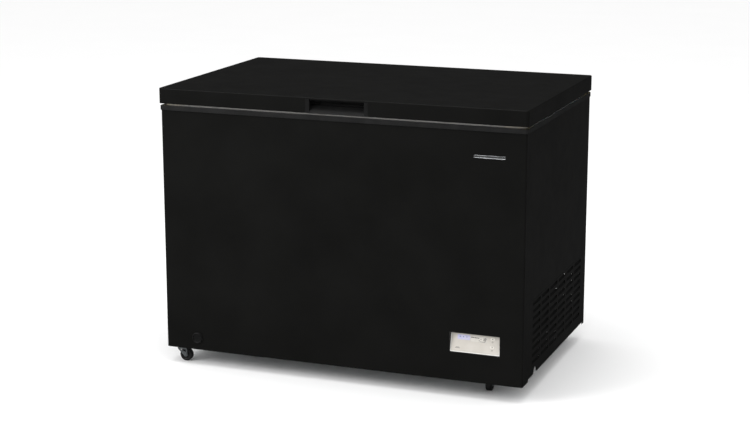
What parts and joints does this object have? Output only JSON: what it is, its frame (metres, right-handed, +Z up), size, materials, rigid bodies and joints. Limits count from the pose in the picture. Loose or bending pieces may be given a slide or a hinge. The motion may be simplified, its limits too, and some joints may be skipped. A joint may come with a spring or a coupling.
{
  "type": "chest freezer",
  "caption": "Black chest freezer with a hinged insulated lid, recessed front handle, leaning control panel, louvred compressor bay and castors.",
  "frame": {"origin": "on the floor, under the middle of the closed freezer's bounding box", "axes": "+X to the freezer's right seen from its front, +Y towards its back, +Z up"},
  "size_m": [1.14, 0.732, 0.85],
  "materials": {
    "black_coat": "satin",
    "galvanised_sheet": "satin",
    "foam": "matte",
    "liner_sheet": "satin",
    "black_plastic": "satin",
    "badge": "satin",
    "compressor_paint": "gloss",
    "rubber": "matte",
    "copper": "satin",
    "aluminium_tube": "satin",
    "steel_tube": "satin",
    "wire_sleeve": "satin",
    "fascia": "satin",
    "window": "gloss",
    "light_lens": "gloss",
    "circuit_board": "satin",
    "button": "satin",
    "white_plastic": "satin",
    "zinc": "satin",
    "wheel": "satin",
    "spring_steel": "satin",
    "gasket": "satin",
    "wire_coat": "satin"
  },
  "bodies": {
    "cabinet": {"cabinet_shell": "black_coat", "back_panel": "galvanised_sheet", "base_panel": "galvanised_sheet", "insulation_foam": "foam", "inner_liner": "liner_sheet", "top_frame": "black_plastic", "name_badge": "badge", "side_grille": "black_coat", "rear_vent_cover": "black_coat", "front_rail": "galvanised_sheet", "rear_rail": "galvanised_sheet", "compressor_tray": "galvanised_sheet", "compressor": "compressor_paint", "compressor_grommets": "rubber", "terminal_cover": "black_plastic", "filter_dryer": "copper", "discharge_pipe": "copper", "liquid_pipe": "copper", "suction_pipe": "copper", "capillary_tube": "copper", "evaporator_coil": "aluminium_tube", "condenser_coil": "steel_tube", "wiring_harness": "wire_sleeve", "control_housing": "black_plastic", "control_fascia": "fascia", "display_window": "window", "indicator_lights": "light_lens", "control_board": "circuit_board", "drain_outlet": "black_plastic", "drain_pipe": "white_plastic", "cord_gland": "rubber", "cabinet_screws": "zinc", "castor_plates": "zinc", "rear_roller_brackets": "zinc", "rear_roller_axles": "zinc", "left_hinge_base": "zinc", "right_hinge_base": "zinc", "hinge_pins": "zinc", "hinge_springs": "spring_steel"},
    "lid": {"lid_panel": "black_coat", "lid_foam": "foam", "lid_liner": "white_plastic", "lid_gasket": "gasket", "lid_handle": "black_plastic", "left_hinge_leaf": "zinc", "right_hinge_leaf": "zinc"},
    "left_castor": {"left_castor_fork": "zinc", "left_castor_axle": "zinc"},
    "left_castor_wheel": {"left_castor_wheel": "wheel"},
    "right_castor": {"right_castor_fork": "zinc", "right_castor_axle": "zinc"},
    "right_castor_wheel": {"right_castor_wheel": "wheel"},
    "rear_left_roller": {"rear_left_roller": "wheel"},
    "rear_right_roller": {"rear_right_roller": "wheel"},
    "button_upper": {"button_upper": "button"},
    "button_lower": {"button_lower": "button"},
    "drain_cap": {"drain_cap": "black_plastic"},
    "inner_drain_plug": {"inner_drain_plug": "white_plastic"},
    "basket": {"wire_basket": "wire_coat"}
  },
  "joints": [
    {"name": "lid_hinge", "type": "hinge", "parent": "cabinet", "child": "lid", "pos_m": [0, 0.357, 0.79], "axis": [-1, 0, 0], "range_deg": [0, 80], "stiffness_Nm_per_rad": 11, "springref_deg": 97.4},
    {"name": "left_castor_swivel", "type": "hinge", "parent": "cabinet", "child": "left_castor", "pos_m": [-0.533, -0.326, 0.046], "axis": [0, 0, 1], "continuous": true},
    {"name": "left_castor_spin", "type": "hinge", "parent": "left_castor", "child": "left_castor_wheel", "pos_m": [-0.517, -0.326, 0.02], "axis": [0, 1, 0], "continuous": true},
    {"name": "right_castor_swivel", "type": "hinge", "parent": "cabinet", "child": "right_castor", "pos_m": [0.441, -0.286, 0.046], "axis": [0, 0, 1], "continuous": true},
    {"name": "right_castor_spin", "type": "hinge", "parent": "right_castor", "child": "right_castor_wheel", "pos_m": [0.441, -0.27, 0.02], "axis": [1, 0, 0], "continuous": true},
    {"name": "rear_left_spin", "type": "hinge", "parent": "cabinet", "child": "rear_left_roller", "pos_m": [-0.505, 0.289, 0.02], "axis": [1, 0, 0], "continuous": true},
    {"name": "rear_right_spin", "type": "hinge", "parent": "cabinet", "child": "rear_right_roller", "pos_m": [0.505, 0.289, 0.02], "axis": [1, 0, 0], "continuous": true},
    {"name": "button_upper_press", "type": "slide", "parent": "cabinet", "child": "button_upper", "axis": [0, 0.9806, -0.1959], "range_m": [0, 0.0008], "stiffness_N_per_m": 1200},
    {"name": "button_lower_press", "type": "slide", "parent": "cabinet", "child": "button_lower", "axis": [0, 0.9806, -0.1959], "range_m": [0, 0.0008], "stiffness_N_per_m": 1200},
    {"name": "drain_cap_pull", "type": "slide", "parent": "cabinet", "child": "drain_cap", "axis": [0, -1, 0], "range_m": [0, 0.022]},
    {"name": "inner_plug_lift", "type": "slide", "parent": "cabinet", "child": "inner_drain_plug", "axis": [0, 0, 1], "range_m": [0, 0.03]},
    {"name": "basket_slide", "type": "slide", "parent": "cabinet", "child": "basket", "axis": [1, 0, 0], "range_m": [0, 0.698]}
  ]
}
